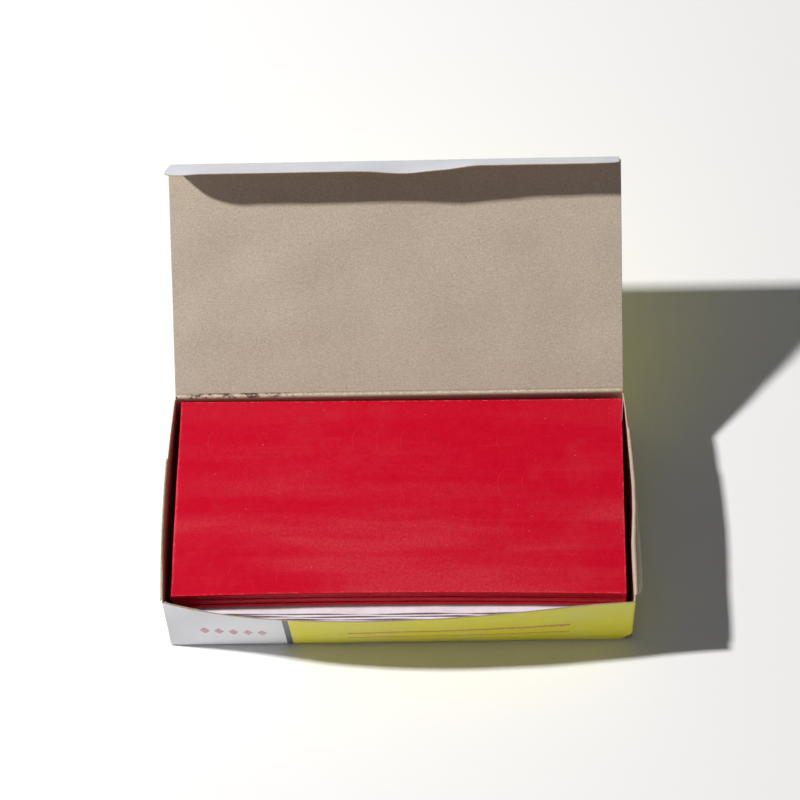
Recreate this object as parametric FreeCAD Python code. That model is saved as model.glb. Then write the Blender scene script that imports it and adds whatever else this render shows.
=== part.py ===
import FreeCAD, Part
import math
import os

# A tuck-top folding paperboard carton, standing open, with its stack of flat wax sheets and
# the thin papers laid between the lower sheets.
# Millimetres, +Z up.  The origin is the middle of the carton's floor plan, on its underside.
# The front wall faces -Y, and the lid is hinged on the back wall.

# --- Board ---------------------------------------------------------------------------------
BOARD = 0.45                 # folding boxboard caliper
LAYER_GAP = 0.02             # air between boards glued face to face
MOVE_GAP = 0.05              # air between boards that turn past each other

# --- Carton body -----------------------------------------------------------------------------
FRONT_WIDTH = 181.0
BACK_WIDTH = 178.6           # the rear corners draw in a little
DEPTH = 92.6
HEIGHT = 34.5
SIDE_DROP = 0.55             # side walls stop lower, so that the dust flaps fold in under the lid
FRONT_BOW = 7.9              # how far the free top edge of the front wall bulges out
FRONT_SKEW = 0.6             # the bulge peaks left of the middle
SIDE_BOW = 1.7
GLUE_FLAP_WIDTH = 14.0
CURVE_STEPS = 12             # spans in each bowed edge

# --- Sealed bottom ---------------------------------------------------------------------------
SEAL_FLAP_LENGTH = 36.0
BOTTOM_DUST_LENGTH = 42.0
BOTTOM_DUST_TAPER = 6.0
PANEL_EASE = 0.05            # air round the edges of the bottom boards

# --- Lid -------------------------------------------------------------------------------------
LID_WIDTH = 178.0
LID_LENGTH = 92.05
LID_LEAN = 39.0              # degrees above the horizontal, leaning back
TUCK_LENGTH = 16.0
TUCK_WIDTH = 176.4
TUCK_INSIDE_ANGLE = 85.0     # between the lid's inner face and the flap
TUCK_CORNER = 11.0

# --- Top dust flaps --------------------------------------------------------------------------
DUST_LENGTH = 22.0
DUST_FRONT = 0.03            # where the crease ends, as a share of the depth from the front
LEFT_DUST_REAR = 0.70
RIGHT_DUST_REAR = 0.82
DUST_TAPER_FRONT = 16.0
DUST_TAPER_REAR = 3.0
LEFT_DUST_FLARE = 0.5        # degrees away from hanging straight down
RIGHT_DUST_FLARE = 1.0

# --- Wax sheets and the papers between them --------------------------------------------------
SHEET_COUNT = 15
BARE_SHEETS = 4              # the top sheets lie on each other with no paper between
SHEET_WIDTH = 175.0
SHEET_DEPTH = 86.5
SHEET_THICKNESS = 2.0
SHEET_CORNER = 0.8
SHEET_X = 0.3
SHEET_Y = 1.2
SHEET_TURN = -0.5            # degrees, the stack as a whole
STACK_GAP = 0.016
PAPER_WIDTH = 175.4
PAPER_DEPTH = 87.0
PAPER_THICKNESS = 0.06
PAPER_Y = 0.9
SHUFFLE_X = 0.35             # largest sideways slip of one sheet
SHUFFLE_Y = 0.2
SHUFFLE_TURN = 0.08          # degrees

X_AXIS = FreeCAD.Vector(1, 0, 0)
Y_AXIS = FreeCAD.Vector(0, 1, 0)
Z_AXIS = FreeCAD.Vector(0, 0, 1)

FRONT_Y = -DEPTH / 2
BACK_Y = DEPTH / 2
FRONT_LEFT = FreeCAD.Vector(-FRONT_WIDTH / 2, FRONT_Y, 0)
FRONT_RIGHT = FreeCAD.Vector(FRONT_WIDTH / 2, FRONT_Y, 0)
BACK_LEFT = FreeCAD.Vector(-BACK_WIDTH / 2, BACK_Y, 0)
BACK_RIGHT = FreeCAD.Vector(BACK_WIDTH / 2, BACK_Y, 0)


def save(shape, node):
    shape.exportStep("parts/" + node + ".step")


def bulge(u, skew):
    """Share of the full bow at u (0 to 1) along a wall."""
    return 4 * u * (1 - u) * (1 + skew * (0.5 - u))


def wall_point(start, end, u, bow, skew, inset, z):
    """A point of a wall's plan curve; the outside is on the right of start to end."""
    run = end.sub(start)
    outward = FreeCAD.Vector(run.y, -run.x, 0).normalize()
    offset = bow * bulge(u, skew) - inset
    point = start + run * u + outward * offset
    return FreeCAD.Vector(point.x, point.y, z)


def curve(points, straight):
    """One edge through the points."""
    if straight:
        return Part.makeLine(points[0], points[-1])
    spline = Part.BSplineCurve()
    spline.interpolate(points)
    return spline.toShape()


def wall_section(start, end, bow, skew, inset, z, span):
    """Closed plan outline of a wall at one height."""
    low, high = span
    steps = [low + (high - low) * i / CURVE_STEPS for i in range(CURVE_STEPS + 1)]
    outer = [wall_point(start, end, u, bow, skew, inset, z) for u in steps]
    inner = [wall_point(start, end, u, bow, skew, inset + BOARD, z) for u in reversed(steps)]
    straight = bow == 0
    edges = [
        curve(outer, straight),
        Part.makeLine(outer[-1], inner[0]),
        curve(inner, straight),
        Part.makeLine(inner[-1], outer[0]),
    ]
    return Part.Wire(edges)


def wall(start, end, bow, skew, inset, bottom, top, span):
    """A board wall, straight along its foot and bowed along its top edge."""
    foot = wall_section(start, end, 0, skew, inset, bottom, span)
    head = wall_section(start, end, bow, skew, inset, top, span)
    return Part.makeLoft([foot, head], True, True)


def plate(points, z, thickness):
    """A flat plate with the given plan outline."""
    corners = [FreeCAD.Vector(x, y, z) for x, y in points]
    outline = Part.makePolygon(corners + [corners[0]])
    return Part.Face(outline).extrude(FreeCAD.Vector(0, 0, thickness))


def round_corners(shape, radius, picks):
    """Round the upright edges whose middles satisfy picks."""
    edges = []
    for edge in shape.Edges:
        middle = edge.CenterOfMass
        upright = abs(edge.Vertexes[0].Z - edge.Vertexes[-1].Z) > shape.BoundBox.ZLength / 2
        if upright and picks(middle):
            edges.append(edge)
    return shape.makeFillet(radius, edges)


def inside_edge(y, inset):
    """Half the carton's inside width at depth y, less an inset."""
    share = (y - FRONT_Y) / DEPTH
    half = (FRONT_WIDTH + (BACK_WIDTH - FRONT_WIDTH) * share) / 2
    return half - BOARD - inset


# --- Carton walls ------------------------------------------------------------------------------
def make_walls():
    full = (0.0, 1.0)
    side_top = HEIGHT - SIDE_DROP
    save(wall(FRONT_LEFT, FRONT_RIGHT, FRONT_BOW, FRONT_SKEW, 0, 0, HEIGHT, full), "front_panel")
    save(wall(BACK_RIGHT, BACK_LEFT, 0, 0, 0, 0, HEIGHT, full), "back_panel")

    # The side walls fit between the front and back walls.
    trim = (BOARD + LAYER_GAP) / DEPTH
    between = (trim, 1.0 - trim)
    right = wall(FRONT_RIGHT, BACK_RIGHT, SIDE_BOW, 0, 0, 0, side_top, between)
    left = wall(BACK_LEFT, FRONT_LEFT, SIDE_BOW, 0, 0, 0, side_top, between)
    save(right, "right_side_panel")
    save(left, "left_side_panel")

    # The glue flap turns in from the left wall behind the front wall.
    first = (BOARD + SIDE_BOW * 0.1) / FRONT_WIDTH
    last = first + GLUE_FLAP_WIDTH / FRONT_WIDTH
    foot = 3 * (BOARD + LAYER_GAP)
    flap = wall(FRONT_LEFT, FRONT_RIGHT, FRONT_BOW * (1 - foot / HEIGHT), FRONT_SKEW,
                BOARD + MOVE_GAP, foot, side_top, (first, last))
    save(flap, "glue_flap")


# --- Sealed bottom -----------------------------------------------------------------------------
def make_bottom():
    front = FRONT_Y + BOARD + PANEL_EASE
    back = BACK_Y - BOARD - PANEL_EASE
    front_half = inside_edge(front, PANEL_EASE)
    back_half = inside_edge(back, PANEL_EASE)
    panel = [(-front_half, front), (front_half, front), (back_half, back), (-back_half, back)]
    save(plate(panel, 0, BOARD), "bottom_panel")

    seal_back = front + SEAL_FLAP_LENGTH
    seal_half = inside_edge(seal_back, PANEL_EASE) - BOTTOM_DUST_TAPER
    seal = [(-front_half, front), (front_half, front), (seal_half, seal_back), (-seal_half, seal_back)]
    level = BOARD + LAYER_GAP
    save(plate(seal, level, BOARD), "bottom_seal_flap")

    level = 2 * (BOARD + LAYER_GAP)
    tip = back_half - BOTTOM_DUST_LENGTH
    for side, node in ((-1, "bottom_left_dust_flap"), (1, "bottom_right_dust_flap")):
        flap = [
            (side * front_half, front),
            (side * back_half, back),
            (side * tip, back - BOTTOM_DUST_TAPER),
            (side * tip, front + BOTTOM_DUST_TAPER),
        ]
        save(plate(flap, level, BOARD), node)


# --- Lid and its tuck flap ---------------------------------------------------------------------
def make_lid():
    hinge = FreeCAD.Vector(0, BACK_Y + BOARD + MOVE_GAP, HEIGHT + MOVE_GAP)
    half = LID_WIDTH / 2
    # Drawn lying flat behind the hinge with the outer face down, then tipped up to its lean.
    far = hinge.y + LID_LENGTH
    outline = [(-half, hinge.y), (half, hinge.y), (half, far), (-half, far)]
    lid = plate(outline, hinge.z - BOARD, BOARD)
    lid.rotate(hinge, X_AXIS, LID_LEAN)
    save(lid, "lid_panel")

    fold = FreeCAD.Vector(0, far, hinge.z)
    half = TUCK_WIDTH / 2
    root = far + MOVE_GAP
    tip = far + TUCK_LENGTH
    outline = [(-half, root), (half, root), (half, tip), (-half, tip)]
    flap = plate(outline, hinge.z - BOARD, BOARD)
    flap = round_corners(flap, TUCK_CORNER, lambda middle: middle.y > tip - BOARD)
    flap.rotate(fold, X_AXIS, 180 - TUCK_INSIDE_ANGLE)
    flap.rotate(hinge, X_AXIS, LID_LEAN)
    save(flap, "lid_tuck_flap")


# --- Top dust flaps ----------------------------------------------------------------------------
def make_dust_flap(side, rear_share, flare, node):
    """A flap folded right over its side wall's top edge, hanging outside the wall."""
    front = FreeCAD.Vector(side * FRONT_WIDTH / 2, FRONT_Y, 0)
    back = FreeCAD.Vector(side * BACK_WIDTH / 2, BACK_Y, 0)
    run = back.sub(front)
    outward = FreeCAD.Vector(side * run.y, -side * run.x, 0).normalize()
    clear = SIDE_BOW + BOARD + 2 * MOVE_GAP
    level = HEIGHT - SIDE_DROP + MOVE_GAP
    start = front + run * DUST_FRONT + outward * clear
    finish = front + run * rear_share + outward * clear
    start.z = level
    finish.z = level
    along = finish.sub(start)
    direction = FreeCAD.Vector(along).normalize()
    corners = [
        start,
        finish,
        finish - direction * DUST_TAPER_REAR + outward * DUST_LENGTH,
        start + direction * DUST_TAPER_FRONT + outward * DUST_LENGTH,
    ]
    outline = Part.makePolygon(corners + [corners[0]])
    # Drawn sticking straight out with its inner face up, then swung down.
    flap = Part.Face(outline).extrude(FreeCAD.Vector(0, 0, -BOARD))
    flap.rotate(start, direction, side * (90 - flare))
    save(flap, node)


# --- Stack of wax sheets -----------------------------------------------------------------------
def shuffle(index):
    """Slip and turn of one sheet from the stack's place."""
    x = SHUFFLE_X * math.sin(2.1 * index + 0.4)
    y = SHUFFLE_Y * math.sin(3.7 * index + 1.0)
    turn = SHUFFLE_TURN * math.sin(1.3 * index)
    return x, y, turn


def laid_plate(width, depth, thickness, x, y, turn, z):
    shape = Part.makeBox(width, depth, thickness, FreeCAD.Vector(-width / 2, -depth / 2, z))
    shape.rotate(FreeCAD.Vector(0, 0, 0), Z_AXIS, turn)
    shape.translate(FreeCAD.Vector(x, y, 0))
    return shape


def make_stack():
    z = 3 * (BOARD + LAYER_GAP)
    for index in range(1, SHEET_COUNT + 1):
        slip_x, slip_y, slip_turn = shuffle(index)
        turn = SHEET_TURN + slip_turn
        if index <= SHEET_COUNT - BARE_SHEETS:
            paper = laid_plate(PAPER_WIDTH, PAPER_DEPTH, PAPER_THICKNESS,
                               SHEET_X + slip_x / 2, PAPER_Y + slip_y / 2, turn, z)
            save(paper, "interleaf_%02d" % index)
            z += PAPER_THICKNESS + STACK_GAP
        sheet = laid_plate(SHEET_WIDTH, SHEET_DEPTH, SHEET_THICKNESS,
                           SHEET_X + slip_x, SHEET_Y + slip_y, turn, z)
        sheet = round_corners(sheet, SHEET_CORNER, lambda middle: True)
        save(sheet, "wax_sheet_%02d" % index)
        z += SHEET_THICKNESS + STACK_GAP


os.makedirs("parts", exist_ok=True)
make_walls()
make_bottom()
make_lid()
make_dust_flap(-1, LEFT_DUST_REAR, LEFT_DUST_FLARE, "top_left_dust_flap")
make_dust_flap(1, RIGHT_DUST_REAR, RIGHT_DUST_FLARE, "top_right_dust_flap")
make_stack()
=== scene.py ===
import math

import bmesh
import bpy
from mathutils import Matrix, Vector, noise


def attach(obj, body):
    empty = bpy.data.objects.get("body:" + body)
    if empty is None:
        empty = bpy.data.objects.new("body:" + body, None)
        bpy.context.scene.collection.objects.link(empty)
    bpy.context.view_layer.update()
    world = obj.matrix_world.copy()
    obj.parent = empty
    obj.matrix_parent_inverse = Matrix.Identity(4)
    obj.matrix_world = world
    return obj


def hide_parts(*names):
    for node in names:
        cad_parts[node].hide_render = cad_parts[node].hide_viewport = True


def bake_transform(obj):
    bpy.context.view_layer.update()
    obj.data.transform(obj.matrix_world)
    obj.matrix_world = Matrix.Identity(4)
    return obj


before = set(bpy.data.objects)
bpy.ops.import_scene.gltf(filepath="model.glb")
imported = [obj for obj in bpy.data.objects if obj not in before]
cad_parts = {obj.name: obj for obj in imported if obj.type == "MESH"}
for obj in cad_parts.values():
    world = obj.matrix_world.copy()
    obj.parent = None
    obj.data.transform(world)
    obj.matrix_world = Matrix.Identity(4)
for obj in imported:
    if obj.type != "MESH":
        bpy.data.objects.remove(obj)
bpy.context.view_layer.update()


# ---------------------------------------------------------------------------------------------
# Front wall: one panel of 0.45 mm folding boxboard, clay coated and printed on its outside and
# left grey-brown inside.  Its left edge is cut raw and glued over the flap of the left wall, its
# right edge is a scored fold, and its free top edge has bulged outward with handling.
# ---------------------------------------------------------------------------------------------
MM = 0.001
BOARD = 0.45 * MM
DEPTH = 92.6 * MM
HEIGHT = 34.5 * MM
FRONT_HALF = 90.5 * MM
BACK_HALF = 89.3 * MM
FRONT_BOW = 7.9 * MM
FRONT_SKEW = 0.6
FRONT_FOLD = 1.3 * MM
RAW_EDGE = 0.2 * MM
STRIPE_X = -43.3 * MM
FRONT_LEFT = Vector((-FRONT_HALF, -DEPTH / 2, 0))
FRONT_RIGHT = Vector((FRONT_HALF, -DEPTH / 2, 0))
BACK_LEFT = Vector((-BACK_HALF, DEPTH / 2, 0))
BACK_RIGHT = Vector((BACK_HALF, DEPTH / 2, 0))


def linear(red, green, blue):
    """Scene-linear colour from display values of 0 to 255."""
    return tuple(((value / 255 + 0.055) / 1.055) ** 2.4 for value in (red, green, blue)) + (1.0,)


def node(tree, kind, inputs, **settings):
    """A shader node with its settings, and its inputs set to values or linked from sockets."""
    made = tree.nodes.new(kind)
    for key, value in settings.items():
        setattr(made, key, value)
    for key, value in inputs.items():
        if isinstance(value, bpy.types.NodeSocket):
            tree.links.new(value, made.inputs[key])
        else:
            made.inputs[key].default_value = value
    return made


def calc(tree, operation, a, b=0.0):
    """One step of arithmetic on numbers or sockets."""
    return node(tree, "ShaderNodeMath", {0: a, 1: b}, operation=operation).outputs[0]


def ease(tree, value, low, high, start=0.0, end=1.0):
    """Goes smoothly from start to end as the value goes from low to high."""
    settings = {0: value, 1: low, 2: high, 3: start, 4: end}
    return node(tree, "ShaderNodeMapRange", settings, interpolation_type="SMOOTHSTEP").outputs[0]


def mixed(tree, factor, a, b):
    """Colour a turning into colour b as the factor goes from 0 to 1."""
    return node(tree, "ShaderNodeMix", {0: factor, 6: a, 7: b}, data_type="RGBA").outputs[2]


def worn_edge(tree):
    """Distance in mm from the piece's nearest edge, stored on its vertices."""
    return node(tree, "ShaderNodeAttribute", {}, attribute_name="edge_mm").outputs["Fac"]


def place_on(tree, stretch=(1, 1, 1), shift=(0, 0, 0)):
    """Object coordinates, stretched and shifted."""
    where = tree.nodes.new("ShaderNodeTexCoord").outputs["Object"]
    return node(tree, "ShaderNodeMapping", {0: where, 1: shift, 3: stretch}).outputs[0]


def grain(tree, per_mm, detail=3.0, stretch=(1, 1, 1), shift=(0, 0, 0), rough=0.55):
    """Noise with about this many blotches to a millimetre."""
    where = place_on(tree, stretch, shift)
    settings = {"Vector": where, "Scale": per_mm / MM, "Detail": detail, "Roughness": rough}
    return node(tree, "ShaderNodeTexNoise", settings).outputs[0]


def bumped(tree, height, depth, strength=1.0, normal=None):
    """A normal with this relief added to it."""
    inputs = {"Height": height, "Distance": depth, "Strength": strength}
    if normal is not None:
        inputs["Normal"] = normal
    return node(tree, "ShaderNodeBump", inputs).outputs[0]


def finish_named(name, roughness, specular=0.5):
    """A new material, its node tree and its shader."""
    material = bpy.data.materials.new(name)
    material.use_nodes = True
    tree = material.node_tree
    shader = tree.nodes["Principled BSDF"]
    shader.inputs["Roughness"].default_value = roughness
    shader.inputs["Specular IOR Level"].default_value = specular
    return material, tree, shader


def feed(tree, shader, **sockets):
    """Links sockets to the shader's inputs."""
    for key, socket in sockets.items():
        tree.links.new(socket, shader.inputs[key.replace("_", " ")])


def coated_board(name, whites, field_edge=None, marks=False):
    """Clay-coated board, scuffed along its folds.  A dark stripe at field_edge starts a yellow field."""
    material, tree, shader = finish_named(name, 0.42, 0.4)
    spot = node(tree, "ShaderNodeSeparateXYZ", {0: place_on(tree)}).outputs
    colour = mixed(tree, ease(tree, grain(tree, 0.02, 2), 0.35, 0.7), *whites)
    if field_edge is not None:
        ink = mixed(tree, ease(tree, grain(tree, 0.03, 2), 0.3, 0.7), linear(232, 224, 98),
                    linear(236, 226, 48))
        colour = mixed(tree, calc(tree, "GREATER_THAN", spot[0], field_edge), colour, ink)
        stripe = node(tree, "ShaderNodeMath", {0: spot[0], 1: field_edge, 2: 1.15 * MM},
                      operation="COMPARE").outputs[0]
        colour = mixed(tree, stripe, colour, linear(103, 102, 106))
    if marks:
        # A row of five small diamonds in the white field, and two plain rules in the yellow.
        first, pitch, centre = -78.5 * MM, 5.6 * MM, 15.5 * MM
        cell = calc(tree, "FRACT", calc(tree, "DIVIDE", calc(tree, "SUBTRACT", spot[0], first), pitch))
        across = calc(tree, "MULTIPLY", calc(tree, "ABSOLUTE", calc(tree, "SUBTRACT", cell, 0.5)), pitch)
        up = calc(tree, "ABSOLUTE", calc(tree, "SUBTRACT", spot[2], centre))
        diamond = calc(tree, "LESS_THAN", calc(tree, "ADD", across, calc(tree, "MULTIPLY", up, 0.62)),
                       2.0 * MM)
        row = calc(tree, "MULTIPLY", calc(tree, "GREATER_THAN", spot[0], first),
                   calc(tree, "LESS_THAN", spot[0], first + 5 * pitch))
        ink_mask = calc(tree, "MULTIPLY", diamond, row)
        for low, high, level, half in ((-20, 66, 16.5, 1.0), (-20, 66, 9.5, 0.5)):
            along = calc(tree, "MULTIPLY", calc(tree, "GREATER_THAN", spot[0], low * MM),
                         calc(tree, "LESS_THAN", spot[0], high * MM))
            bar = node(tree, "ShaderNodeMath", {0: spot[2], 1: level * MM, 2: half * MM},
                       operation="COMPARE").outputs[0]
            ink_mask = calc(tree, "MAXIMUM", ink_mask, calc(tree, "MULTIPLY", along, bar))
        worn = ease(tree, grain(tree, 1.2, 4), 0.3, 0.6, 0.35, 0.8)
        colour = mixed(tree, calc(tree, "MULTIPLY", ink_mask, worn), colour, linear(196, 96, 98))
    # Handling marks, and the board showing through along the folds and cut edges.
    soil = ease(tree, grain(tree, 0.12, 6, rough=0.7), 0.55, 0.8, 0.0, 0.22)
    colour = mixed(tree, soil, colour, linear(188, 182, 168))
    edge = worn_edge(tree)
    near = ease(tree, edge, 0.0, 0.6, 1.0, 0.0)
    patchy = ease(tree, grain(tree, 0.5, 5, rough=0.7), 0.46, 0.6)
    rubbed = calc(tree, "MULTIPLY", near, patchy)
    colour = mixed(tree, calc(tree, "MULTIPLY", rubbed, 0.8), colour, linear(186, 172, 150))
    fibre = grain(tree, 2.5, 4)
    warp = grain(tree, 0.09, 2)
    normal = bumped(tree, warp, 0.25 * MM, 0.5)
    normal = bumped(tree, fibre, 0.02 * MM, 0.5, normal)
    gloss = ease(tree, grain(tree, 0.25, 4), 0.3, 0.7, 0.36, 0.5)
    feed(tree, shader, Base_Color=colour, Roughness=gloss, Normal=normal)
    return material


def bare_board(name, base, dark, pale):
    """The uncoated side of the board: matted waste-paper fibres with dark and pale specks."""
    material, tree, shader = finish_named(name, 0.9, 0.2)
    blotch = ease(tree, grain(tree, 0.06, 4, rough=0.6), 0.3, 0.7)
    colour = mixed(tree, calc(tree, "MULTIPLY", blotch, 0.3), base, mixed(tree, 0.25, base, dark))
    mat = ease(tree, grain(tree, 1.9, 5, (1, 1, 1), (5, 5, 5), 0.8), 0.36, 0.64)
    colour = mixed(tree, calc(tree, "MULTIPLY", mat, 0.5), mixed(tree, 0.3, colour, dark), pale)
    long_fibre = ease(tree, grain(tree, 1.3, 3, (0.5, 1, 1)), 0.5, 0.7)
    colour = mixed(tree, calc(tree, "MULTIPLY", long_fibre, 0.2), colour, pale)
    speck = ease(tree, grain(tree, 2.2, 2, (1, 0.8, 0.8), (3, 1, 2)), 0.64, 0.72)
    colour = mixed(tree, calc(tree, "MULTIPLY", speck, 0.6), colour, dark)
    sliver = ease(tree, grain(tree, 0.55, 2, (1, 0.5, 0.5), (8, 1, 2)), 0.74, 0.78)
    colour = mixed(tree, calc(tree, "MULTIPLY", sliver, 0.5), colour, dark)
    fleck = ease(tree, grain(tree, 1.9, 2, (1, 0.7, 0.7), (7, 5, 4)), 0.69, 0.76)
    colour = mixed(tree, calc(tree, "MULTIPLY", fleck, 0.5), colour, pale)
    normal = bumped(tree, grain(tree, 0.07, 2), 0.25 * MM, 0.3)
    normal = bumped(tree, grain(tree, 2.6, 5, (0.8, 1, 1), (1, 1, 1), 0.7), 0.05 * MM, 0.9, normal)
    feed(tree, shader, Base_Color=colour, Normal=normal)
    return material


def bulge(u, skew=0.0):
    """Share of a wall's full bow at u, from 0 to 1 along it."""
    return 4 * u * (1 - u) * (1 + skew * (0.5 - u))


def sagitta(distance, radius):
    """How far a rounded fold has turned in, at this distance from its end."""
    if distance >= radius:
        return 0.0
    rest = radius - max(distance, 0.0)
    return radius - math.sqrt(max(radius * radius - rest * rest, 0.0))


def ripple(x, y, size, seed):
    """Slow unevenness of handled board."""
    return size * noise.noise(Vector((x / (26 * MM), y / (18 * MM), seed)))


def cluster(t):
    """Bunches grid lines towards both ends of 0 to 1, where a board folds or is cut."""
    return t - 0.88 * math.sin(2 * math.pi * t) / (2 * math.pi)


def board_piece(name, columns, rows, size, point, outward, coats):
    """A sheet of board.  point(u, v) is its outer face; coats are its outer, inner and cut faces."""
    bm = bmesh.new()
    bmesh.ops.create_grid(bm, x_segments=columns, y_segments=rows, size=0.5)
    edge = bm.verts.layers.float.new("edge_mm")
    for vert in bm.verts:
        u, v = cluster(vert.co.x + 0.5), cluster(vert.co.y + 0.5)
        vert[edge] = min(u * size[0], (1 - u) * size[0], v * size[1], (1 - v) * size[1]) / MM
        vert.co = point(u, v)
    bm.normal_update()
    facing = sum((face.normal * face.calc_area() for face in bm.faces), Vector())
    if facing.dot(Vector(outward)) < 0:
        bmesh.ops.reverse_faces(bm, faces=bm.faces)
    for face in bm.faces:
        face.smooth = True
    mesh = bpy.data.meshes.new(name)
    bm.to_mesh(mesh)
    bm.free()
    piece = bpy.data.objects.new(name, mesh)
    bpy.context.collection.objects.link(piece)
    for coat in coats:
        mesh.materials.append(coat)
    shell = piece.modifiers.new("board", "SOLIDIFY")
    shell.thickness = BOARD
    shell.offset = -1
    shell.use_even_offset = True
    shell.material_offset = 1
    shell.material_offset_rim = 2
    return piece


def settle(piece, body, slot, *nodes):
    """The piece rides on its body and stands for its plain solids."""
    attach(piece, body)
    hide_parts(*nodes)


def wall_point(start, end, u, z, bow, skew=0.0):
    """A point on a wall's outer face; the outside is on the right going from start to end."""
    run = end - start
    outward = Vector((run.y, -run.x, 0)).normalized()
    return start + run * u + outward * bow * bulge(u, skew) * z / HEIGHT + Vector((0, 0, z))


def corner_rise(x, z):
    """The front left corner has been pulled up and back a little, most at the top."""
    near = max(0.0, 1 - (x + FRONT_HALF) / (34 * MM)) ** 2
    return Vector((0, 0.4, 1.9)) * MM * near * (z / HEIGHT) ** 2


def corner_push(near, z):
    """The front right corner has been pressed out and forward a little, most at the top."""
    return Vector((0.6, -1.2, 0)) * MM * max(0.0, near) ** 2 * (z / HEIGHT) ** 1.3


def front_point(u, v):
    """The front wall's outer face, u from its raw left edge to the right fold, v up."""
    x = RAW_EDGE + u * (2 * FRONT_HALF - RAW_EDGE)
    share = x / (2 * FRONT_HALF)
    z = v * HEIGHT
    top = 0.12 * MM * noise.noise(Vector((x / (9 * MM), 0, 3))) * max(0, v - 0.9) * 10
    spot = wall_point(FRONT_LEFT, FRONT_RIGHT, share, z + top, FRONT_BOW, FRONT_SKEW)
    spot.y += sagitta(2 * FRONT_HALF - x, FRONT_FOLD) + sagitta(z, 0.7 * MM)
    spot.y += ripple(x, z, 0.35 * MM, 1.0) * math.sin(math.pi * u)
    spot += corner_rise(spot.x, z) + corner_push(1 - (2 * FRONT_HALF - x) / (30 * MM), z)
    # The lower right corner has been knocked in.
    knock = max(0.0, 1 - math.hypot(2 * FRONT_HALF - x, z) / (6 * MM)) ** 2
    spot += Vector((-1.0, 1.6, 1.6)) * MM * knock
    return spot


# Painted light: the front wall's whites are lighter than the same board's whites elsewhere, to make up for
# the front wall standing in shade.
FRONT_WHITES_PAINTED_LIGHT = linear(242, 243, 246), linear(234, 235, 240)
PRINT_WHITES = linear(222, 224, 230), linear(214, 216, 223)
PLAIN_WHITES = linear(220, 223, 230), linear(211, 214, 222)
YELLOW_ALL_OVER = -2 * FRONT_HALF

board_front = coated_board("printed_board_front_painted_light", FRONT_WHITES_PAINTED_LIGHT, STRIPE_X, marks=True)
board_print = coated_board("printed_board", PRINT_WHITES, STRIPE_X)
board_side = coated_board("printed_board_side", PRINT_WHITES, YELLOW_ALL_OVER)
board_white = coated_board("white_board", PLAIN_WHITES)
board_inside = bare_board("grey_board", linear(196, 181, 162), linear(126, 108, 90), linear(224, 213, 198))
board_cut = bare_board("cut_board", linear(172, 150, 122), linear(96, 74, 56), linear(206, 192, 168))

front = board_piece("front_wall", 150, 36, (2 * FRONT_HALF, HEIGHT), front_point, (0, -1, 0),
                    (board_front, board_inside, board_cut))
settle(front, "carton", "printed_board", "front_panel")


# ---------------------------------------------------------------------------------------------
# Left and right side walls: the same board, folded round from the front and back walls and cut
# half a millimetre lower, so that their dust flaps fold in under the lid.
# ---------------------------------------------------------------------------------------------
SIDE_HEIGHT = 33.95 * MM
SIDE_BOW = 1.7 * MM
RIGHT_BOW = ((0, 0), (0.04, 0.2), (0.1, 0.3), (0.2, 0.4), (0.28, 0.6), (0.36, 1.3), (0.44, 1.9),
             (0.55, 2.1), (0.66, 1.8), (0.79, 1.2), (0.9, 0.6), (1, 0))
BACK_FOLD = 1.0 * MM
CORNER_FOLD = 1.45 * MM
PUSHED_SHARE = 0.32


def follow(knots, t):
    """A smooth value at t through a few (t, value) knots."""
    for (t0, a), (t1, b) in zip(knots, knots[1:]):
        if t <= t1:
            s = min(max((t - t0) / (t1 - t0), 0.0), 1.0)
            return a + (b - a) * s * s * (3 - 2 * s) * 0.5 + (b - a) * s * 0.5
    return knots[-1][1]


def side_wall_point(side, share, z):
    """Outer face of a side wall, share running from the front corner to the back."""
    if side > 0:
        spot = wall_point(FRONT_RIGHT, BACK_RIGHT, share, z, 0)
        spot.x += follow(RIGHT_BOW, share) * MM * (z / HEIGHT) ** 1.3
        return spot + corner_push(1 - share / PUSHED_SHARE, z)
    spot = wall_point(BACK_LEFT, FRONT_LEFT, 1 - share, z, SIDE_BOW)
    spot.z += 1.5 * MM * max(0.0, 1 - share / 0.3) ** 2 * (z / HEIGHT) ** 2
    return spot


for side, label in ((1, "right"), (-1, "left")):
    first = (FRONT_FOLD if side > 0 else CORNER_FOLD) / DEPTH
    last = 1 - BACK_FOLD / DEPTH

    def side_point(u, v):
        share = first + (last - first) * u
        spot = side_wall_point(side, share, v * SIDE_HEIGHT)
        spot.x += ripple(spot.y, spot.z, 0.25 * MM, 5.0 + side) * math.sin(math.pi * u) ** 0.5
        spot.x -= side * sagitta(v * SIDE_HEIGHT, 0.6 * MM)
        return spot

    wall = board_piece(label + "_side_wall", 90, 30, (DEPTH, SIDE_HEIGHT), side_point, (side, 0, 0),
                       (board_side, board_inside, board_cut))
    settle(wall, "carton", "printed_board", label + "_side_panel")


# ---------------------------------------------------------------------------------------------
# Back wall: scored and folded at both ends, and at the top, where the lid hangs on it by a crease
# of the same board.
# ---------------------------------------------------------------------------------------------
def back_point(u, v):
    z = v * (HEIGHT - 0.8 * MM)
    spot = wall_point(BACK_RIGHT, BACK_LEFT, u, z, 0)
    along = u * 2 * BACK_HALF
    spot.y -= sagitta(along, BACK_FOLD) + sagitta(2 * BACK_HALF - along, BACK_FOLD)
    spot.y -= sagitta(z, 0.6 * MM)
    spot.y += ripple(spot.x, z, 0.2 * MM, 9.0) * math.sin(math.pi * u) * math.sin(math.pi * v)
    return spot


back = board_piece("back_wall", 110, 28, (2 * BACK_HALF, HEIGHT), back_point, (0, 1, 0),
                   (board_print, board_inside, board_cut))
settle(back, "carton", "printed_board", "back_panel")


# ---------------------------------------------------------------------------------------------
# Glue flap: the left wall's board turns the front corner with a rounded fold and runs behind the
# front wall, which is stuck to it.
# ---------------------------------------------------------------------------------------------
GLUE_FLAP = 14 * MM
GLUE_FOLD = 1.0 * MM


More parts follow.
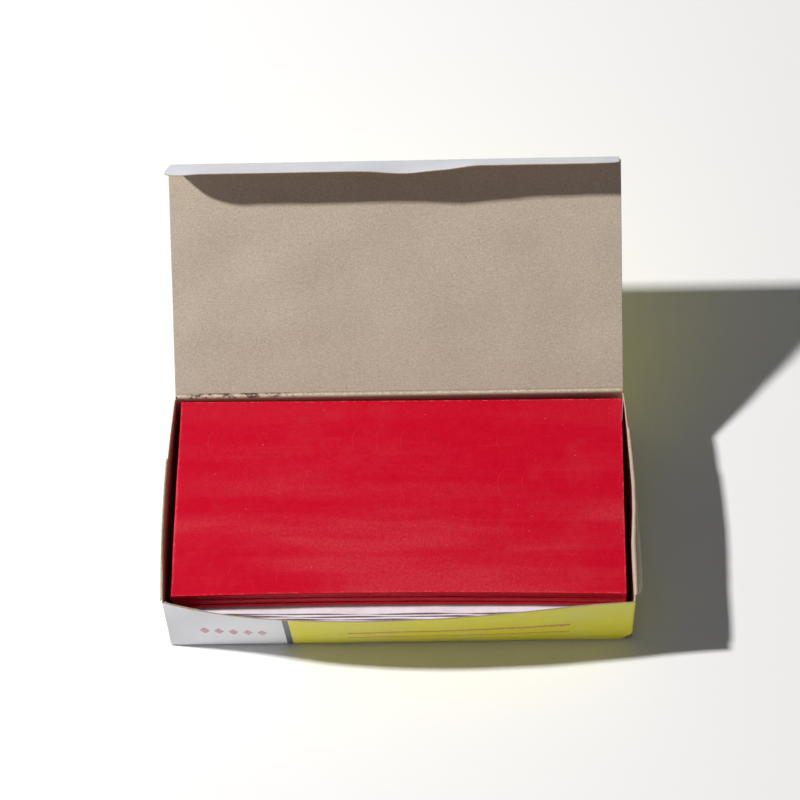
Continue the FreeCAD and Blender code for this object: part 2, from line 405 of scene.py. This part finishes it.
def glue_point(u, v):
    """The flap's outer face, u from the left wall round the fold and on behind the front wall."""
    arc = GLUE_FOLD * math.pi / 2
    s = u * (arc + GLUE_FLAP)
    z = CORNER_FOLD + v * (SIDE_HEIGHT - CORNER_FOLD)
    centre = Vector((-FRONT_HALF + GLUE_FOLD, -DEPTH / 2 + BOARD + 0.03 * MM + GLUE_FOLD, z))
    if s < arc:
        turn = s / GLUE_FOLD
        return centre + GLUE_FOLD * Vector((-math.cos(turn), -math.sin(turn), 0))
    x = centre.x + s - arc
    share = (x + FRONT_HALF) / (2 * FRONT_HALF)
    bow_here, bow_at_fold = (FRONT_BOW * bulge(place, FRONT_SKEW) * z / HEIGHT
                             for place in (share, GLUE_FOLD / (2 * FRONT_HALF)))
    y = centre.y - GLUE_FOLD - bow_here + bow_at_fold * max(0, 1 - (s - arc) / (2 * MM))
    return Vector((x, y + 0.04 * MM, z)) + corner_rise(x, z)


glue = board_piece("glue_flap_board", 40, 24, (GLUE_FLAP, SIDE_HEIGHT), glue_point, (-0.1, -1, 0),
                   (board_white, board_inside, board_cut))
settle(glue, "carton", "plain_board", "glue_flap")


# ---------------------------------------------------------------------------------------------
# Sealed bottom: two dust flaps from the side walls, a short flap from the front wall and a full
# panel from the back wall, glued one on the other.  Each is a flat board.
# ---------------------------------------------------------------------------------------------
LAYER = 0.47 * MM
BOTTOM_FRONT = -DEPTH / 2 + BOARD + 0.05 * MM
BOTTOM_BACK = DEPTH / 2 - BOARD - 0.05 * MM
SEAL_FLAP = 36 * MM
BOTTOM_DUST = 42 * MM
BOTTOM_TAPER = 6 * MM


def half_width(y):
    """Half the carton's inside width at depth y."""
    share = (y + DEPTH / 2) / DEPTH
    return FRONT_HALF + (BACK_HALF - FRONT_HALF) * share - BOARD - 0.05 * MM


def bottom_point(u, v):
    y = BOTTOM_FRONT + v * (BOTTOM_BACK - BOTTOM_FRONT)
    return Vector(((2 * u - 1) * half_width(y), y, 0.0))


def seal_point(u, v):
    y = BOTTOM_FRONT + v * SEAL_FLAP
    return Vector(((2 * u - 1) * (half_width(y) - BOTTOM_TAPER * v), y, LAYER))


bottom = board_piece("bottom_board", 60, 36, (2 * FRONT_HALF, DEPTH), bottom_point, (0, 0, -1),
                     (board_print, board_inside, board_cut))
settle(bottom, "carton", "printed_board", "bottom_panel")
seal = board_piece("bottom_seal_board", 60, 20, (2 * FRONT_HALF, SEAL_FLAP), seal_point, (0, 0, -1),
                   (board_white, board_inside, board_cut))
settle(seal, "carton", "plain_board", "bottom_seal_flap")

for side, label in ((1, "right"), (-1, "left")):
    def bottom_dust_point(u, v):
        y = BOTTOM_FRONT + v * (BOTTOM_BACK - BOTTOM_FRONT)
        squeeze = BOTTOM_TAPER * u
        y += squeeze * (1 - 2 * v)
        return Vector((side * (half_width(y) - u * BOTTOM_DUST), y, 2 * LAYER))

    flap = board_piece("bottom_%s_dust_board" % label, 24, 40, (BOTTOM_DUST, DEPTH), bottom_dust_point,
                       (0, 0, -1), (board_white, board_inside, board_cut))
    settle(flap, "carton", "plain_board", "bottom_%s_dust_flap" % label)


# ---------------------------------------------------------------------------------------------
# Wax sheets: rolled modelling wax, 175 x 86.5 x 2 mm, deep red and slightly translucent, with a
# satin skin, bands, arcs and streaks from the rollers, and a pale bloom, with painted sheen towards the
# front, painted shade in fine grooves and painted light on the edges.  They lie loose.
# ---------------------------------------------------------------------------------------------
SHEET_COUNT = 15
BARE_SHEETS = 4
SHEET_WIDTH = 175 * MM
SHEET_DEPTH = 86.5 * MM
SHEET_THICKNESS = 2 * MM
SHEET_X = 0.3 * MM
SHEET_Y = 1.2 * MM
SHEET_TURN = math.radians(-0.5)
STACK_GAP = 0.016 * MM
STACK_FLOOR = 3 * LAYER
PAPER_THICKNESS = 0.06 * MM


def shuffle(index):
    """Slip and turn of one sheet from the stack's place."""
    x = 0.35 * MM * math.sin(2.1 * index + 0.4)
    y = 0.2 * MM * math.sin(3.7 * index + 1.0)
    turn = math.radians(0.08) * math.sin(1.3 * index)
    return x, y, turn


def stack_level(index):
    """Height of the underside of a wax sheet, counted from 1."""
    papers = min(index, SHEET_COUNT - BARE_SHEETS)
    return (STACK_FLOOR + (index - 1) * (SHEET_THICKNESS + STACK_GAP)
            + papers * (PAPER_THICKNESS + STACK_GAP))


def red_wax():
    """Deep red wax with roller bands, curved ripples, streaks, bloom and sheared rims; painted sheen
    towards the front, painted shade in grooves and painted light on the edges.
    """
    material, tree, shader = finish_named("red_wax", 0.45, 0.16)
    shader.inputs["Subsurface Weight"].default_value = 0.2
    shader.inputs["Subsurface Radius"].default_value = (0.0025, 0.0002, 0.0003)
    shader.inputs["Subsurface Scale"].default_value = 1.0
    spot = node(tree, "ShaderNodeSeparateXYZ", {0: place_on(tree)}).outputs
    deep, mid, pale = (0.57, 0.0, 0.018, 1), (0.56, 0.004, 0.024, 1), (0.64, 0.06, 0.075, 1)
    # The rollers leave plain bands and hazier bands along the sheet.  The hazier bands are made up to
    # twice as strong towards the front: painted sheen.
    bands_and_sheen = ease(tree, grain(tree, 0.07, 2, (0.14, 1, 1), (2, 5, 3), 0.5), 0.36, 0.64)
    bands_and_sheen = calc(tree, "MULTIPLY", bands_and_sheen, ease(tree, spot[1], 36 * MM, -20 * MM, 0.5, 1.0))
    colour = mixed(tree, bands_and_sheen, deep, mid)
    # Fine curved ripples in the hazy bands, in cells one roller step wide.
    pitch, radius, drift = 9.5 * MM, 9.0 * MM, grain(tree, 0.12, 3, (1, 1, 1), (6, 2, 2))
    cell = calc(tree, "SUBTRACT", calc(tree, "FRACT", calc(tree, "DIVIDE", spot[0], pitch)), 0.5)
    aside = calc(tree, "SUBTRACT", calc(tree, "MULTIPLY", cell, pitch), 5.0 * MM)
    rings, arcs = None, None
    for level in (29 * MM, 9 * MM, -12 * MM, -31 * MM):
        rise = calc(tree, "ADD", calc(tree, "SUBTRACT", spot[1], level),
                    calc(tree, "MULTIPLY", drift, 6 * MM))
        reach = calc(tree, "SQRT", calc(tree, "ADD", calc(tree, "MULTIPLY", aside, aside),
                                        calc(tree, "MULTIPLY", rise, rise)))
        here = ease(tree, calc(tree, "ABSOLUTE", rise), 5 * MM, 9 * MM, 1.0, 0.0)
        ring = calc(tree, "MULTIPLY", calc(tree, "SINE", calc(tree, "MULTIPLY", reach, 6.0 / MM)), here)
        rings = ring if rings is None else calc(tree, "ADD", rings, ring)
        arc = ease(tree, calc(tree, "ABSOLUTE", calc(tree, "SUBTRACT", reach, radius)),
                   0.03 * MM, 0.3 * MM, 1.0, 0.0)
        arc = calc(tree, "MULTIPLY", arc, here)
        arcs = arc if arcs is None else calc(tree, "ADD", arcs, arc)
    scaly = calc(tree, "MULTIPLY", bands_and_sheen, grain(tree, 0.8, 5, shift=(2, 8, 1), rough=0.7))
    rings = calc(tree, "MULTIPLY", rings, calc(tree, "MULTIPLY", bands_and_sheen, 0.5))
    patchy = ease(tree, grain(tree, 0.09, 3, (1, 1, 1), (4, 4, 4)), 0.45, 0.65)
    arcs = calc(tree, "MULTIPLY", arcs, patchy)
    haze = calc(tree, "ADD", scaly, calc(tree, "MULTIPLY", rings, 0.12))
    colour = mixed(tree, ease(tree, haze, 0.3, 0.75, 0.0, 0.42), colour, pale)
    colour = mixed(tree, calc(tree, "MULTIPLY", arcs, 0.2), colour, pale)
    # Streaks drawn out along the sheet, and a faint haze of bloom.
    streak = grain(tree, 0.6, 4, (0.05, 1, 1), (1, 2, 3), 0.6)
    colour = mixed(tree, ease(tree, streak, 0.55, 0.75, 0.0, 0.1), colour, pale)
    # Painted shade: thin dark lines along the sheet, standing for the shade in fine grooves.
    groove_shade = ease(tree, grain(tree, 0.5, 3, (0.03, 1, 1), (8, 3, 3), 0.5), 0.24, 0.29, 0.4, 0.0)
    colour = mixed(tree, groove_shade, colour, (0.3, 0.0, 0.01, 1))
    bloom = ease(tree, grain(tree, 0.05, 5, (1, 1, 2), (5, 3, 1), 0.65), 0.5, 0.8)
    colour = mixed(tree, calc(tree, "MULTIPLY", bloom, 0.16), colour, pale)
    # A fine mottle over everything, strongest in the hazy bands.
    mottle = ease(tree, grain(tree, 1.5, 4, (0.8, 1, 1), (7, 5, 3), 0.65), 0.44, 0.68)
    share = calc(tree, "ADD", calc(tree, "MULTIPLY", bands_and_sheen, 0.22), 0.08)
    colour = mixed(tree, calc(tree, "MULTIPLY", mottle, share), colour, pale)
    # Pale specks, and a paler rim where the edge was sheared.
    speck = ease(tree, grain(tree, 0.7, 2, (1, 1, 1), (9, 1, 6)), 0.75, 0.79)
    colour = mixed(tree, calc(tree, "MULTIPLY", speck, 0.55), colour, linear(236, 140, 140))
    edge = worn_edge(tree)
    crumbs = ease(tree, grain(tree, 0.9, 4, (1, 1, 1), (3, 3, 8), 0.7), 0.48, 0.6)
    rim = calc(tree, "MULTIPLY", ease(tree, edge, 0.3, 0.8, 0.5, 0.0), crumbs)
    colour = mixed(tree, rim, colour, (0.75, 0.16, 0.18, 1))
    # Painted light: the thin edges are turned a brighter red, to make up for the shade they stand in.
    colour = mixed(tree, ease(tree, edge, 0.05, 0.3, 1.0, 0.0), colour, (0.98, 0.008, 0.04, 1))
    gloss = ease(tree, calc(tree, "ADD", calc(tree, "MULTIPLY", bands_and_sheen, 0.5), grain(tree, 0.3, 4)),
                 0.3, 1.1, 0.36, 0.58)
    normal = bumped(tree, grain(tree, 0.06, 3, (1, 1.6, 1)), 0.5 * MM, 0.4)
    normal = bumped(tree, streak, 0.05 * MM, 0.5, normal)
    ripples = calc(tree, "ADD", arcs, calc(tree, "MULTIPLY", rings, 0.4))
    normal = bumped(tree, ripples, 0.05 * MM, 0.6, normal)
    normal = bumped(tree, grain(tree, 1.8, 4), 0.04 * MM, 0.6, normal)
    feed(tree, shader, Base_Color=colour, Roughness=gloss, Normal=normal)
    return material


wax = red_wax()


def laid_sheet(name, width, depth, thickness, columns, rows, lower):
    """A flat sheet with its lower face given by lower(u, v), thickened upwards."""
    bm = bmesh.new()
    bmesh.ops.create_grid(bm, x_segments=columns, y_segments=rows, size=0.5)
    edge = bm.verts.layers.float.new("edge_mm")
    for vert in bm.verts:
        u, v = cluster(vert.co.x + 0.5), cluster(vert.co.y + 0.5)
        vert[edge] = min(u * width, (1 - u) * width, v * depth, (1 - v) * depth) / MM
        vert.co = lower(u, v)
    bmesh.ops.reverse_faces(bm, faces=bm.faces)
    for face in bm.faces:
        face.smooth = True
    mesh = bpy.data.meshes.new(name)
    bm.to_mesh(mesh)
    bm.free()
    piece = bpy.data.objects.new(name, mesh)
    bpy.context.collection.objects.link(piece)
    shell = piece.modifiers.new("thickness", "SOLIDIFY")
    shell.thickness = thickness
    shell.offset = -1
    shell.use_even_offset = True
    return piece


def lift_of_stack(x, y, z):
    """The whole stack bows up a little towards its corners, more at the top."""
    corner = (abs(x) / (88 * MM)) ** 3 * 0.25 + (abs(y) / (44 * MM)) ** 4 * 0.1
    return corner * MM * z / HEIGHT


for index in range(1, SHEET_COUNT + 1):
    slip_x, slip_y, slip_turn = shuffle(index)
    turn = Matrix.Rotation(SHEET_TURN + slip_turn, 3, "Z")
    level = stack_level(index)

    def sheet_point(u, v):
        x = (u - 0.5) * SHEET_WIDTH
        y = (v - 0.5) * SHEET_DEPTH
        # The middle of the front edge stands back a little, and the sheared edges wander slightly.
        y += 1.3 * MM * bulge(min(max(u, 0.0), 1.0)) * max(0.0, 1 - 4 * v)
        if v < 0.02 or v > 0.98:
            y += 0.12 * MM * noise.noise(Vector((x / (14 * MM), index, v * 3)))
        if u < 0.02 or u > 0.98:
            x += 0.12 * MM * noise.noise(Vector((y / (14 * MM), index, 7 + u)))
        spot = turn @ Vector((x, y, 0)) + Vector((SHEET_X + slip_x, SHEET_Y + slip_y, level))
        spot.z += lift_of_stack(x, y, level)
        return spot

    sheet = laid_sheet("wax_%02d" % index, SHEET_WIDTH, SHEET_DEPTH, SHEET_THICKNESS, 80, 44,
                       sheet_point)
    sheet.data.materials.append(wax)
    soften = sheet.modifiers.new("rolled_edge", "BEVEL")
    soften.width = 0.75 * MM
    soften.segments = 3
    soften.limit_method = "ANGLE"
    soften.angle_limit = math.radians(50)
    settle(sheet, "sheet_%02d" % index, "red_wax", "wax_sheet_%02d" % index)


# ---------------------------------------------------------------------------------------------
# Interleaf papers: thin white tissue cut a little larger than the wax and laid between the lower
# sheets.  The front edges stick out past the wax, crinkled by the front wall.
# ---------------------------------------------------------------------------------------------
PAPER_WIDTH = 175.4 * MM
PAPER_DEPTH = 87.0 * MM
PAPER_Y = 0.9 * MM
TOP_PAPERS = 4


def white_paper():
    """Thin white tissue, slightly clouded and stained pink by the wax."""
    material, tree, shader = finish_named("white_paper", 0.75, 0.3)
    shader.inputs["Subsurface Weight"].default_value = 0.2
    shader.inputs["Subsurface Radius"].default_value = (0.0012, 0.001, 0.001)
    shader.inputs["Subsurface Scale"].default_value = 1.0
    cloud = ease(tree, grain(tree, 0.25, 5, rough=0.6), 0.3, 0.7)
    colour = mixed(tree, cloud, linear(248, 242, 250), linear(238, 229, 241))
    stain = ease(tree, grain(tree, 0.05, 3, shift=(3, 3, 3)), 0.55, 0.75, 0.0, 0.15)
    colour = mixed(tree, stain, colour, linear(232, 190, 196))
    normal = bumped(tree, grain(tree, 0.3, 4), 0.15 * MM, 0.5)
    normal = bumped(tree, grain(tree, 2.5, 4), 0.02 * MM, 0.6, normal)
    feed(tree, shader, Base_Color=colour, Normal=normal)
    return material


paper = white_paper()

for index in range(1, SHEET_COUNT - BARE_SHEETS + 1):
    slip_x, slip_y, slip_turn = shuffle(index)
    turn = Matrix.Rotation(SHEET_TURN + slip_turn, 3, "Z")
    level = stack_level(index) - PAPER_THICKNESS - STACK_GAP

    def paper_point(u, v):
        x = (u - 0.5) * PAPER_WIDTH
        y = (v - 0.5) * PAPER_DEPTH
        # The front fringe runs out past the wax, the lower papers further than the upper ones, and
        # bunches up in slow waves where the bulged wall leaves room.
        middle = bulge(min(max(u, 0.0), 1.0), FRONT_SKEW)
        wander = noise.noise(Vector((x / (24 * MM), index * 3.1, 0)))
        room = 2.6 + FRONT_BOW / MM * middle * level / HEIGHT - 0.35
        under = min(SHEET_COUNT - BARE_SHEETS - index, 3)
        reach = min(1.6 + 0.45 * wander + 0.85 * under * middle, room) * MM
        fringe = max(0.0, 1 - v / 0.03)
        y -= reach * fringe
        spot = turn @ Vector((x, y, 0)) + Vector((SHEET_X + slip_x / 2, PAPER_Y + slip_y / 2, level))
        spot.z += lift_of_stack(x, (v - 0.5) * SHEET_DEPTH, level)
        wave = 0.28 * math.sin(x / (6.0 * MM) + index * 2.3 + 3 * wander)
        bunch = 1.45 * under - 1.2 if index > SHEET_COUNT - BARE_SHEETS - TOP_PAPERS else 0.0
        spot.z += fringe ** 1.3 * middle ** 0.7 * (bunch + wave) * MM
        return spot

    leaf = laid_sheet("paper_%02d" % index, PAPER_WIDTH, PAPER_DEPTH, PAPER_THICKNESS, 150, 60,
                      paper_point)
    leaf.data.materials.append(paper)
    settle(leaf, "sheet_%02d" % index, "paper", "interleaf_%02d" % index)


# ---------------------------------------------------------------------------------------------
# Top dust flaps: short board flaps scored along the side walls' top edges, folded right over and
# hanging outside.  The reversed creases have broken open, so their crests show torn fibre, painted pale
# partly for the fibre and partly as a painted highlight along the crests.
# ---------------------------------------------------------------------------------------------
DUST_LENGTH = 22 * MM
DUST_FRONT = 0.03
DUST_AXIS_OUT = SIDE_BOW + BOARD + 0.1 * MM
DUST_AXIS_Z = SIDE_HEIGHT + 0.05 * MM
DUST_CREASE = 0.7 * MM
RIGHT_SPRING = ((0, 0.4), (0.05, 1.3), (0.12, 2.0), (0.2, 2.25), (0.3, 2.0), (0.4, 0.9), (0.5, 0.3),
                (1, 0.1))


def torn_fibre(name, fibre_low, fibre_high, gap_shade, first, last):
    """Broken board fibres along a crease, torn open, with painted shade in each tear from first to last
    along x.
    """
    material, tree, shader = finish_named(name, 0.95, 0.15)
    strand = grain(tree, 1.8, 5, (0.6, 1, 1), (2, 2, 2), 0.7)
    board = mixed(tree, grain(tree, 1.6, 3, (0.35, 1, 1)), linear(170, 152, 130), linear(204, 188, 166))
    fibre = mixed(tree, ease(tree, strand, 0.35, 0.65), fibre_low, fibre_high)
    edge = worn_edge(tree)
    ragged = calc(tree, "ADD", edge, calc(tree, "MULTIPLY", grain(tree, 0.7, 5, rough=0.7), 0.9))
    colour = mixed(tree, ease(tree, ragged, 1.0, 1.25), board, fibre)
    spot = node(tree, "ShaderNodeSeparateXYZ", {0: place_on(tree)}).outputs
    # Painted shade: dark patches where the torn fibres part, at full strength before first along x and
    # faint after last.
    split = ease(tree, grain(tree, 0.5, 5, (0.5, 1, 1), (6, 1, 1), 0.7), 0.48, 0.58)
    place = ease(tree, spot[0], first, last, gap_shade, 0.08)
    colour = mixed(tree, calc(tree, "MULTIPLY", split, place), colour, linear(84, 58, 44))
    normal = bumped(tree, strand, 0.2 * MM, 1.0)
    feed(tree, shader, Base_Color=colour, Normal=normal)
    return material


# Painted highlight: the crest fibre is near white, lighter than the board, partly pale torn fibre and
# partly the highlight along the crests; faint painted shade in its tears.
crest_fibre_and_highlight = torn_fibre("torn_crest_and_highlight", linear(206, 198, 188), linear(240, 238, 236), 0.2, -0.09, 0.09)


def curved(a, toward_a, b, toward_b, t):
    """A point at t along the smooth fold from a to b."""
    c, d = a + toward_a, b - toward_b
    s = 1 - t
    return a * s ** 3 + c * 3 * s * s * t + d * 3 * s * t * t + b * t ** 3


def fold_reach(side, share):
    """How far outside the straight line of the wall the flap's crease lies, in mm."""
    if side > 0:
        return follow(RIGHT_BOW, share) + 0.6 + 0.6 * max(0.0, 1 - share / PUSHED_SHARE) ** 2
    return 2.3 - 0.6 * 1.7 * (1 - bulge(share)) - 0.5 * max(0.0, 1 - share / 0.4)


def spring(side, share, s):
    """How far the flap bows out between its crease and its free edge, most at the right front."""
    most = follow(RIGHT_SPRING, share) if side > 0 else 0.2
    return most * MM * math.sin(math.pi * min(s / DUST_LENGTH, 1.0) ** 0.6)


for side, label, rear, flare in ((1, "right", 0.82, 1.0), (-1, "left", 0.70, 0.5)):
    corner_front = Vector((side * FRONT_HALF, -DEPTH / 2, 0))
    corner_back = Vector((side * BACK_HALF, DEPTH / 2, 0))
    run = corner_back - corner_front
    out = Vector((side * run.y, -side * run.x, 0)).normalized()
    lean = math.radians(flare)
    hang = out * math.sin(lean) + Vector((0, 0, -math.cos(lean)))
    face_in = -out * math.cos(lean) - Vector((0, 0, math.sin(lean)))
    run_length = run.length

    def dust_point(share, s):
        """The flap's coated face, which lies towards the wall, s down from its crease."""
        reach = fold_reach(side, share) * MM
        tuck_in = (reach - DUST_AXIS_OUT) * min(s / DUST_LENGTH, 1.0)
        reach += spring(side, share, s) - tuck_in
        axis = corner_front + run * share + out * reach + Vector((0, 0, DUST_AXIS_Z))
        return axis + hang * s + face_in * BOARD

    def flap_point(u, v):
        s = DUST_CREASE + v * (DUST_LENGTH - DUST_CREASE)
        low = DUST_FRONT + 16.0 * MM * v / run_length
        high = rear - 3.0 * MM * v / run_length
        return dust_point(low + (high - low) * u, s)

    def crest_point(u, v, half):
        share = DUST_FRONT + (rear - DUST_FRONT) * u
        low = side_wall_point(side, share, SIDE_HEIGHT - DUST_CREASE)
        low.x += ripple(low.y, low.z, 0.25 * MM, 5.0 + side) * math.sin(math.pi * share) ** 0.5
        high = dust_point(share, DUST_CREASE)
        wide = 0.55 * MM + 0.3 * abs(high.x - low.x)
        return curved(low, Vector((0, 0, wide)), high, hang * wide, (v + half) / 2)

    flap = board_piece(label + "_dust_board", 70, 24, (run_length * (rear - DUST_FRONT), DUST_LENGTH),
                       flap_point, face_in, (board_side, board_inside, board_cut))
    settle(flap, label + "_dust", "printed_board", "top_%s_dust_flap" % label)
    # The crease turns through three quarters of a circle, so it is split along its crest.
    for half, body in ((0, "carton"), (1, label + "_dust")):
        strip = board_piece("%s_dust_crease_%d" % (label, half + 1), 70, 6, (run_length, 1 * MM),
                            lambda u, v: crest_point(u, v, half), Vector((0, 0, -1)),
                            (board_side, crest_fibre_and_highlight, board_cut))
        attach(strip, body)


# ---------------------------------------------------------------------------------------------
# Lid: the large top panel, grey inside and printed outside, hanging back on its crease along the
# back wall.  The crease is a scored and softened line with its fibres lifted.
# ---------------------------------------------------------------------------------------------
LID_HALF = 89.0 * MM
LID_LENGTH = 92.05 * MM
LID_LEAN = math.radians(39)
HINGE = Vector((0, DEPTH / 2 + BOARD + 0.05 * MM, HEIGHT + 0.05 * MM))
LID_CREASE = 0.8 * MM
lid_along = Vector((0, math.cos(LID_LEAN), math.sin(LID_LEAN)))
lid_outward = Vector((0, math.sin(LID_LEAN), -math.cos(LID_LEAN)))


def crease_piece(name, columns, size, point, outward, coats, start, end):
    """A bent strip of board that carries one panel's fold into the next."""
    strip = board_piece(name, columns, 10, size, point, outward, coats)
    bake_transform(strip)


def lid_face(x, s):
    """The lid's outer face, s up from the hinge line."""
    share = s / LID_LENGTH
    dome = math.sin(math.pi * share)
    warp = 0.5 * MM * dome * math.cos(x / (60 * MM)) + ripple(x, s, 0.7 * MM, 21.0) * dome
    return HINGE + Vector((x, 0, 0)) + lid_along * s + lid_outward * (BOARD + warp)


def lid_point(u, v):
    return lid_face((2 * u - 1) * LID_HALF, LID_CREASE + v * (LID_LENGTH - 2 * LID_CREASE))


def lid_crease_point(u, v):
    x = (2 * u - 1) * LID_HALF
    low = Vector((x, DEPTH / 2, HEIGHT - 0.8 * MM))
    high = lid_face(x, LID_CREASE)
    return curved(low, Vector((0, 0, 0.6 * MM)), high, lid_along * 0.6 * MM, v)


# The lid crease: tan fibres, and strong painted shade in the tears on its left part.
board_torn = torn_fibre("torn_crease", linear(190, 172, 148), linear(232, 222, 204), 0.9, -0.06, -0.03)

lid = board_piece("lid_board", 110, 60, (2 * LID_HALF, LID_LENGTH), lid_point, lid_outward,
                  (board_print, board_inside, board_cut))
settle(lid, "lid", "printed_board", "lid_panel")
crease_piece("lid_crease", 120, (2 * LID_HALF, 2 * MM), lid_crease_point, lid_outward,
             (board_print, board_torn, board_cut),
             lid_crease_point(0.5, 0), lid_crease_point(0.5, 1))


# ---------------------------------------------------------------------------------------------
# Tuck flap: the lid's closing flap, folded in from its free edge, with rounded corners.  It has
# lost its flatness, so its free edge waves in and out along the fold.
# ---------------------------------------------------------------------------------------------
TUCK_LENGTH = 16 * MM
TUCK_HALF = 88.2 * MM
TUCK_SHOULDER = 10.5 * MM
TUCK_ROUNDING = 11 * MM
tuck_fold = HINGE + lid_along * LID_LENGTH


def smooth_step(value, low, high):
    """Goes smoothly from 0 to 1 as the value goes from low to high."""
    t = min(max((value - low) / (high - low), 0.0), 1.0)
    return t * t * (3 - 2 * t)


def inside_angle(x):
    """Angle between the lid and the flap at x, in degrees."""
    dent = math.exp(-((x - 4 * MM) / (10 * MM)) ** 2)
    ends = 3.5 * smooth_step(-x, 74 * MM, 91 * MM) + 2.0 * smooth_step(x, 80 * MM, 91 * MM)
    return 80.0 + 5.5 * smooth_step(x, 18 * MM, 34 * MM) - 4.2 * dent - ends


def tuck_along(x):
    """The directions down the flap and out of its coated face at x."""
    turn = LID_LEAN + math.pi - math.radians(inside_angle(x))
    return Vector((0, math.cos(turn), math.sin(turn))), Vector((0, math.sin(turn), -math.cos(turn)))


def tuck_face(x, s):
    """The flap's outer face, s from the fold."""
    along, outer = tuck_along(x)
    return tuck_fold + Vector((x, 0, 0)) + along * s + outer * BOARD


def tuck_point(u, v):
    s = LID_CREASE + v * (TUCK_LENGTH - LID_CREASE)
    rest = max(0.0, s - TUCK_SHOULDER) / (TUCK_LENGTH - TUCK_SHOULDER)
    corner = TUCK_ROUNDING * (1 - math.sqrt(max(1 - rest ** 2, 0.0)))
    half = TUCK_HALF - corner
    x = (2 * u - 1) * half - 1.4 * MM * (1 - u) * smooth_step(s, 0, TUCK_SHOULDER)
    s += 0.25 * MM * v * noise.noise(Vector((x / (12 * MM), 4, 0)))
    return tuck_face(x, s)


def tuck_crease_point(u, v):
    x = (2 * u - 1) * TUCK_HALF
    start, end = lid_face(x, LID_LENGTH - LID_CREASE), tuck_face(x, LID_CREASE)
    along = tuck_along(x)[0]
    return curved(start, lid_along * 0.7 * MM, end, along * 0.7 * MM, v)


tuck_outward = Vector((0, math.cos(math.radians(44)), math.sin(math.radians(44))))
tuck = board_piece("tuck_board", 130, 30, (2 * TUCK_HALF, TUCK_LENGTH), tuck_point, tuck_outward,
                   (board_white, board_inside, board_cut))
settle(tuck, "tuck_flap", "printed_board", "lid_tuck_flap")
crease_piece("tuck_crease", 130, (2 * TUCK_HALF, 2 * MM), tuck_crease_point, tuck_outward + lid_outward,
             (board_print, board_inside, board_cut),
             tuck_crease_point(0.5, 0), tuck_crease_point(0.5, 1))


# ---------------------------------------------------------------------------------------------
# Floor, light and camera: a pale floor, a key from the upper left and slightly behind, a wide weak
# fill from the front, plain colour handling, and a long lens looking down at sixty degrees.
# ---------------------------------------------------------------------------------------------
floor_mesh = bmesh.new()
bmesh.ops.create_grid(floor_mesh, x_segments=1, y_segments=1, size=3.0)
floor_data = bpy.data.meshes.new("floor")
floor_mesh.to_mesh(floor_data)
floor_mesh.free()
floor = bpy.data.objects.new("floor", floor_data)
floor.location.z = -0.0002
bpy.context.collection.objects.link(floor)
pale, _, pale_shader = finish_named("pale_floor", 0.9, 0.1)
pale_shader.inputs["Base Color"].default_value = (0.93, 0.93, 0.94, 1)
floor_data.materials.append(pale)

world = bpy.data.worlds.new("studio")
world.use_nodes = True
world.node_tree.nodes["Background"].inputs[0].default_value = (0.94, 0.95, 1.0, 1)
world.node_tree.nodes["Background"].inputs[1].default_value = 0.11
bpy.context.scene.world = world
bpy.context.scene.view_settings.view_transform = "Standard"

LIGHTS_AIM = Vector((0, 0.03, 0.03))
for label, spot, size, power, tint in (
    ("key", (-1.80, 0.15, 1.76), 0.12, 82.0, (1.0, 0.985, 0.965)),
    ("fill", (0.25, -1.7, 0.35), 1.2, 1.2, (0.96, 0.98, 1.0)),
):
    data = bpy.data.lights.new(label, "AREA")
    data.size = size
    data.energy = power
    data.color = tint
    lamp = bpy.data.objects.new(label, data)
    lamp.location = spot
    lamp.rotation_euler = (Vector(spot) - LIGHTS_AIM).to_track_quat("Z", "Y").to_euler()
    bpy.context.collection.objects.link(lamp)

VIEW_HEIGHT = math.radians(59.72)
VIEW_TURN = math.radians(3.97)
VIEW_ROLL = math.radians(-4.31)
VIEW_DISTANCE = 1257.5 * MM
AIM_ACROSS = 3.52 * MM
AIM_UP = 44.75 * MM
AIM_LEVEL = 20 * MM
toward = Vector((math.sin(VIEW_TURN) * math.cos(VIEW_HEIGHT),
                 -math.cos(VIEW_TURN) * math.cos(VIEW_HEIGHT), math.sin(VIEW_HEIGHT)))
across = Vector((math.cos(VIEW_TURN), math.sin(VIEW_TURN), 0))
upright = toward.cross(across)
target = across * AIM_ACROSS + upright * AIM_UP + Vector((0, 0, AIM_LEVEL))
rolled_across = across * math.cos(VIEW_ROLL) + upright * math.sin(VIEW_ROLL)
rolled_upright = upright * math.cos(VIEW_ROLL) - across * math.sin(VIEW_ROLL)
lens = bpy.data.cameras.new("camera")
lens.sensor_width = 36
lens.lens = 143.685
lens.clip_start = 0.01
camera = bpy.data.objects.new("camera", lens)
camera.matrix_world = (Matrix.Translation(target + toward * VIEW_DISTANCE)
                       @ Matrix((rolled_across, rolled_upright, toward)).transposed().to_4x4())
bpy.context.collection.objects.link(camera)
bpy.context.scene.camera = camera
